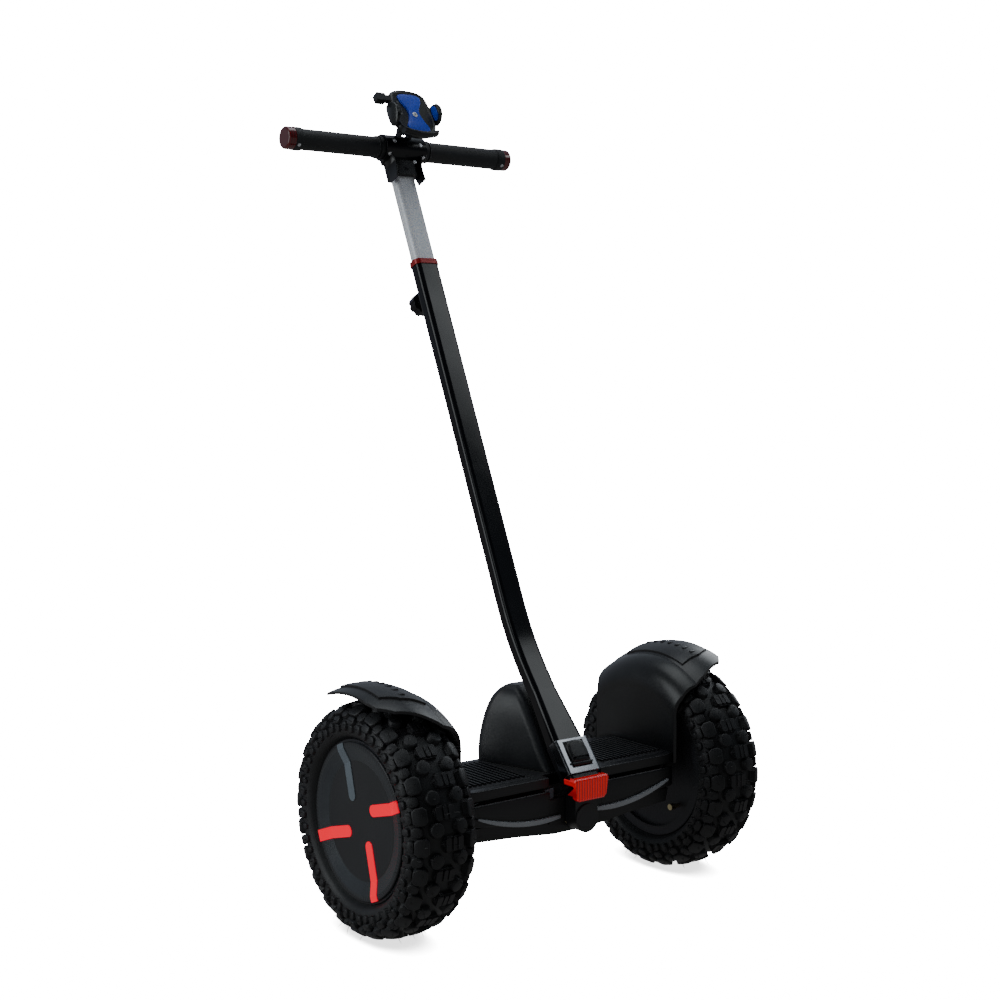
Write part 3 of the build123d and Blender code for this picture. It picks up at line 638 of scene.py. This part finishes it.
def phone_holder():
    shell = Builder()
    outline = rounded_loop([(-36, -42), (36, -42), (36, 20), (27, 43), (-27, 43), (-36, 20)], 3)
    levels = [(-6, 5), (-5.4, 2), (-3, 0.3), (2.5, 0), (5, 1.2), (6, 3.4), (5.2, 5.0), (5.0, 7.0)]
    plate(shell, outline, levels, on_holder)
    rim = []
    for t in np.linspace(-1, 1, 25):
        a = 30 * t
        b = -41.5 + 5.5 * t * t
        ring = []
        for k in range(14):
            w = 2 * math.pi * k / 14
            ring.append(on_holder(a, b + 4.6 * math.cos(w), 6.5 + 6.4 * math.sin(w)))
        rim.append(ring)
    shell.ring_stack(rim)
    obj = shell.build("phone_holder_shell", MAT["holder"], "phone_plate", 50)
    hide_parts("phone_cradle")
    pad = Builder()
    waist = [(-21, 33), (21, 33), (19, 18), (8.5, 2), (12, -14), (20.5, -27), (17, -37), (-17, -37),
             (-20.5, -27), (-12, -14), (-8.5, 2), (-19, 18)]
    loop = rounded_loop([(x, y) for x, y in reversed(waist)], 3)
    plate(pad, loop, [(5.0, -0.3), (6.7, 0), (7.3, 0.5), (7.5, 1.3)], on_holder)
    obj = pad.build("phone_pad_soft", MAT["blue"], "phone_plate", 50)
    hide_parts("phone_pad")
    fixing = Builder()
    screw(fixing, on_holder(0, -5.5, 7.5), PAD_FACE, 4.6 * MM, 1.0 * MM)
    fixing.build("phone_pad_screw", MAT["white"], "phone_plate")


def phone_jaw(name, side):
    """Upright of a jaw as a rounded plate with its hook and soft pad."""
    low, high = (-27, 12) if side < 0 else (-17, 17)
    mid = (low + high) / 2
    body = Builder()

    def across(b, n, x):
        return on_holder(side * x, b, n)

    corners = [(low, -5), (high, -5), (high, 12), (mid + 7, 22), (mid - 7, 22), (low, 12)]
    upright = rounded_loop(corners, 3)
    plate(body, upright, [(37.0, 1.6), (37.4, 0.4), (39, 0), (42, 0.3), (43, 2.0)], across)
    hook = rounded_loop([(low + 6, 18.2), (high - 6, 18.2), (high - 7, 22), (low + 7, 22)], 2)
    plate(body, hook, [(34.2, 0.9), (34.8, 0.2), (38, 0)], across)
    middle = 10 * side
    tongue = rounded_loop([(middle - 6, 0), (middle + 6, 0), (middle + 6, 4), (middle - 6, 4)], 1)
    plate(body, tongue, [(8, 0.3), (9, 0), (39, 0)], across)
    obj = body.build("jaw_body_" + name, MAT["holder"], "phone_jaw_" + name, 45)
    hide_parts("phone_jaw_" + name)
    pad = Builder()
    cushion = [(low + 5, 4), (high - 5, 4), (high - 4, 12), (mid + 5, 17.6), (mid - 5, 17.6), (low + 4, 12)]
    soft = rounded_loop(cushion, 3)
    plate(pad, soft, [(35.0, 1.2), (35.3, 0.3), (37.2, 0)], across)
    pad.build("jaw_pad_" + name, MAT["blue"], "phone_jaw_" + name, 45)


phone_holder()
phone_jaw("left", -1)
phone_jaw("right", 1)

# ------------------------------------------------------------------ handlebar fittings

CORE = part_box("handlebar_core")
BAR_Y = (CORE[0].y + CORE[1].y) / 2
BAR_Z = (CORE[0].z + CORE[1].z) / 2


def on_bar(x, angle, radius):
    """Point and normal on a cylinder about the bar; angle 0 looks rearward, 90 down."""
    a = math.radians(angle)
    normal = Vector((0, -math.cos(a), -math.sin(a)))
    return Vector((x * MM, BAR_Y, BAR_Z)) + normal * radius * MM, normal


def handlebar_fittings():
    screws = Builder()
    for x, angle in ((-22, -28), (-30, 30), (24, -18), (30, 34)):
        where, normal = on_bar(x, angle, 20.0)
        screw(screws, where, normal, 3.0 * MM, 1.1 * MM)
    for x in (-184, 184):
        where, normal = on_bar(x, 38, 17.0)
        screw(screws, where, normal, 2.6 * MM, 1.0 * MM)
    lean = math.radians(23.5)
    down = Vector((0, -math.sin(lean), -math.cos(lean)))
    back = Vector((0, -math.cos(lean), math.sin(lean)))
    throat = Vector((0, BAR_Y, BAR_Z)) + down * 29 * MM + back * 15.5 * MM
    screw(screws, throat + Vector((9 * MM, 0, 0)), back, 2.8 * MM, 1.0 * MM)
    screws.build("handlebar_screws", MAT["bright"], "handlebar")
    hoods = Builder()
    for side in (-1, 1):
        rings = []
        for t in np.linspace(0, 1, 9):
            out = 20.5 + 9.0 * math.exp(-4.2 * t) + 4.5 * t * t
            along = 14 + 40 * t
            half = 14.5 - 4.0 * t
            thick = 1.3
            ring = []
            for dx, dn in ((0, -half), (0, half), (thick, half - 1), (thick, 1 - half)):
                offset = down * along * MM + back * dn * MM
                ring.append(Vector((0, BAR_Y, BAR_Z)) + offset + Vector((side * (out + dx) * MM, 0, 0)))
            rings.append(ring)
        hoods.ring_stack(rings)
    hoods.build("head_hoods", MAT["head"], "handlebar", 50)
    beads = Builder()
    for side in (-1, 1):
        for start in (36.6, 44.5, 176.0):
            bead = ((0.0, 15.2), (0.4, 16.6), (1.4, 17.0), (2.4, 16.6), (2.8, 15.2))
            profile = [((start + along) * MM, r * MM) for along, r in bead]
            turned(beads, profile, (0, BAR_Y, BAR_Z), (side, 0, 0), (0, 0, 1), 40)
    beads.build("grip_beads", MAT["grip"], "handlebar", 50)


handlebar_fittings()

# ------------------------------------------------------------------ body details


def rear_panel():
    """Rear panel with a rounded top edge standing clear of the deck's lip."""
    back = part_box("rear_fascia")[0].y
    top = 0.1735
    halves = Builder()
    for side in (-1, 1):
        rings = []
        for x in np.linspace(46, 180, 30):
            base = 129 + 8 * (x - 34) / 66 if x < 100 else 137 + 9 * (x - 100) / 78
            base = (base + 0.4) * MM
            edge = max(0.0, (x - 176) / 4) * 1.2 * MM
            y = back + edge
            lower = [(y + 0.0034, base), (y + 0.0008, base + 0.0002), (y, base + 0.0012)]
            middle = [(y, (base + top) / 2), (y, top - 0.003)]
            upper = [(y + 0.0005, top - 0.0012), (y + 0.0016, top - 0.0002), (y + 0.0034, top)]
            rings.append([Vector((side * x * MM, a, b)) for a, b in lower + middle + upper])
        halves.ring_stack(rings)
    bridge = [(-46.2, 0.129), (46.2, 0.129), (46.2, 0.1615), (-46.2, 0.1615)]
    plate(
        halves,
        [np.array(q) for q in bridge],
        [(0.0, 0.0), (0.0034, 0.0)],
        lambda a, b, n: Vector((a * MM, back + 0.0002 + n, b)),
    )
    obj = halves.build("rear_panel", MAT["body"], "chassis", 35)
    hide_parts("rear_fascia")
    facets = Builder()
    for side in (-1, 1):
        corners = ((side * 36, 0.150), (side * 47, 0.150), (side * 52, 0.176), (side * 36, 0.176))
        plate(
            facets,
            [np.array(q) for q in corners],
            [(0.0, 0.0), (0.0015, 0.0)],
            lambda a, b, n: Vector((a * MM, back + 0.0100 + n - abs(a) * 0.00016, b)),
        )
    facets.build("notch_facets", MAT["grey"], "chassis")


rear_panel()


def latch_face():
    """Rounded cover of the release lever with two short dark bars at its left edge, painted shade standing
    in for two notches.
    """
    lean = math.radians(37.5)
    up = Vector((0, math.sin(lean), math.cos(lean)))
    back = Vector((0, -math.cos(lean), math.sin(lean)))
    foot = Vector((0, -0.108, 0.172))
    cover = Builder()

    def on_latch(a, b, n):
        return foot + (Vector((a, 0, 0)) + up * b + back * n) * MM

    window = [(-16, 38), (-13, 35), (13, 35), (16, 38), (16, 58), (11, 66), (-11, 66), (-16, 58)]
    loop = rounded_loop(window, 2)
    plate(cover, loop, [(17.0, 0.0), (19.6, 0.0), (20.6, 1.4), (21.2, 3.6), (21.4, 6.0)], on_latch)
    cover.build("latch_cover", MAT["body"], "latch", 60)
    # two slightly raised bars in darker gloss black: painted shade where the lever has two notches
    marks = Builder()
    for b in (44, 57):
        bar = rounded_loop([(-13, b), (-9, b + 1.4), (-9, b + 2.8), (-13, b + 1.4)], 1)
        plate(marks, bar, [(20.0, 0.0), (21.6, 0.0), (21.8, 0.3)], on_latch)
    marks.build("latch_notch_shade", MAT["tube"], "latch")


latch_face()


def fender_marks():
    """Short raised ribs on top of each fender plate."""
    ribs = Builder()
    for side in (-1, 1):
        for k in range(7):
            a = math.radians(-16 + 5.0 * k)
            r = 0.1755 + 0.0014
            for x in (0.256, 0.270):
                rr = r + 0.0006 - max(0.0, x - 0.262) * 0.12
                mid = Vector((side * x, rr * math.sin(a), AXLE.z + rr * math.cos(a)))
                out = Vector((0, math.sin(a), math.cos(a)))
                along = Vector((0, math.cos(a), -math.sin(a)))
                wide = Vector((side, 0, 0))
                rings = []
                for h, size in ((-0.0012, 1.1), (0.0002, 1.0), (0.0005, 0.7)):
                    rings.append([mid + out * h + wide * (u * 0.0042 * size) + along * (v * 0.0018 * size)
                                  for u, v in ((-1, -1), (1, -1), (1, 1), (-1, 1))])
                ribs.ring_stack(rings)
    ribs.build("fender_ribs", MAT["plate"], "chassis")


fender_marks()


# ------------------------------------------------------------------ stage, light, camera


FLOOR_HALF = 60.0
FLOOR_BOUNCE = 0.20
WHITE = 30.0


def floor():
    """White sweep that shows only soft contact shadows."""
    b = Builder()
    ends = (-FLOOR_HALF, FLOOR_HALF)
    b.grid([[Vector((x, y, 0.0)) for x in ends] for y in ends])
    data = bpy.data.meshes.new("floor")
    data.from_pydata([tuple(p) for p in b.points], [], b.faces)
    obj = bpy.data.objects.new("floor", data)
    bpy.context.scene.collection.objects.link(obj)
    mat = bpy.data.materials.new("floor_white")
    mat.use_nodes = True
    tree = mat.node_tree
    tree.nodes.clear()
    out = tree.nodes.new("ShaderNodeOutputMaterial")
    occlusion = tree.nodes.new("ShaderNodeAmbientOcclusion")
    occlusion.inputs["Distance"].default_value = 0.13
    occlusion.samples = 24
    ramp = tree.nodes.new("ShaderNodeMapRange")
    ramp.interpolation_type = "SMOOTHSTEP"
    ramp.inputs["From Min"].default_value = 0.22
    ramp.inputs["From Max"].default_value = 0.72
    ramp.inputs["To Min"].default_value = 2.2
    ramp.inputs["To Max"].default_value = WHITE
    path = tree.nodes.new("ShaderNodeLightPath")
    choose = tree.nodes.new("ShaderNodeMix")
    choose.inputs["A"].default_value = FLOOR_BOUNCE
    glow = tree.nodes.new("ShaderNodeEmission")
    tree.links.new(occlusion.outputs["AO"], ramp.inputs["Value"])
    tree.links.new(path.outputs["Is Camera Ray"], choose.inputs["Factor"])
    tree.links.new(ramp.outputs[0], choose.inputs["B"])
    tree.links.new(choose.outputs["Result"], glow.inputs["Strength"])
    tree.links.new(glow.outputs[0], out.inputs["Surface"])
    data.materials.append(mat)


floor()


def area(name, where, look, size, power, colour=(0.93, 0.98, 1.0)):
    light = bpy.data.lights.new(name, "AREA")
    light.shape = "RECTANGLE"
    light.size, light.size_y = size
    light.energy = power
    light.color = colour
    obj = bpy.data.objects.new(name, light)
    obj.location = where
    obj.rotation_euler = (Vector(look) - Vector(where)).to_track_quat("-Z", "Y").to_euler()
    bpy.context.scene.collection.objects.link(obj)


area("left_bank", (-2.4, 0.6, 1.3), (0, 0, 0.5), (1.2, 2.4), 26)
area("right_bank", (2.4, 0.9, 1.2), (0, 0, 0.5), (1.2, 2.4), 18)
area("top_bank", (0.1, 0.3, 3.0), (0, 0, 0.3), (1.8, 1.8), 17)
area("front_fill", (-2.6, -1.6, 1.6), (0, 0, 0.4), (0.9, 1.4), 5)
area("rear_key", (1.7, -1.0, 2.3), (0, 0, 0.25), (0.7, 0.7), 3.5)

world = bpy.data.worlds.new("studio")
bpy.context.scene.world = world
world.use_nodes = True
wt = world.node_tree
wt.nodes.clear()
w_out = wt.nodes.new("ShaderNodeOutputWorld")
w_white = wt.nodes.new("ShaderNodeBackground")
w_light = wt.nodes.new("ShaderNodeBackground")
w_light.inputs["Color"].default_value = (0.85, 0.95, 1.1, 1)
w_mix = wt.nodes.new("ShaderNodeMixShader")
w_path = wt.nodes.new("ShaderNodeLightPath")
w_coord = wt.nodes.new("ShaderNodeTexCoord")
w_dot = wt.nodes.new("ShaderNodeVectorMath")
w_dot.operation = "DOT_PRODUCT"
w_dot.inputs[1].default_value = (0.607, 0.795, 0.0)
w_range = wt.nodes.new("ShaderNodeMapRange")
w_range.inputs["From Min"].default_value = -0.5
w_range.inputs["From Max"].default_value = 0.9
w_range.inputs["To Min"].default_value = 0.03
w_range.inputs["To Max"].default_value = 0.36
w_white.inputs["Strength"].default_value = WHITE
wt.links.new(w_coord.outputs["Generated"], w_dot.inputs[0])
wt.links.new(w_dot.outputs["Value"], w_range.inputs["Value"])
wt.links.new(w_range.outputs[0], w_light.inputs["Strength"])
wt.links.new(w_path.outputs["Is Camera Ray"], w_mix.inputs[0])
wt.links.new(w_light.outputs[0], w_mix.inputs[1])
wt.links.new(w_white.outputs[0], w_mix.inputs[2])
wt.links.new(w_mix.outputs[0], w_out.inputs["Surface"])

camera_data = bpy.data.cameras.new("camera")
camera_data.lens = 56.28
camera_data.sensor_width = 36.0
camera = bpy.data.objects.new("camera", camera_data)
camera.location = (-1.3445, -1.6811, 0.7262)
camera.rotation_euler = (math.radians(90 - 4.5), 0.0, math.radians(-37.36))
bpy.context.scene.collection.objects.link(camera)
bpy.context.scene.camera = camera
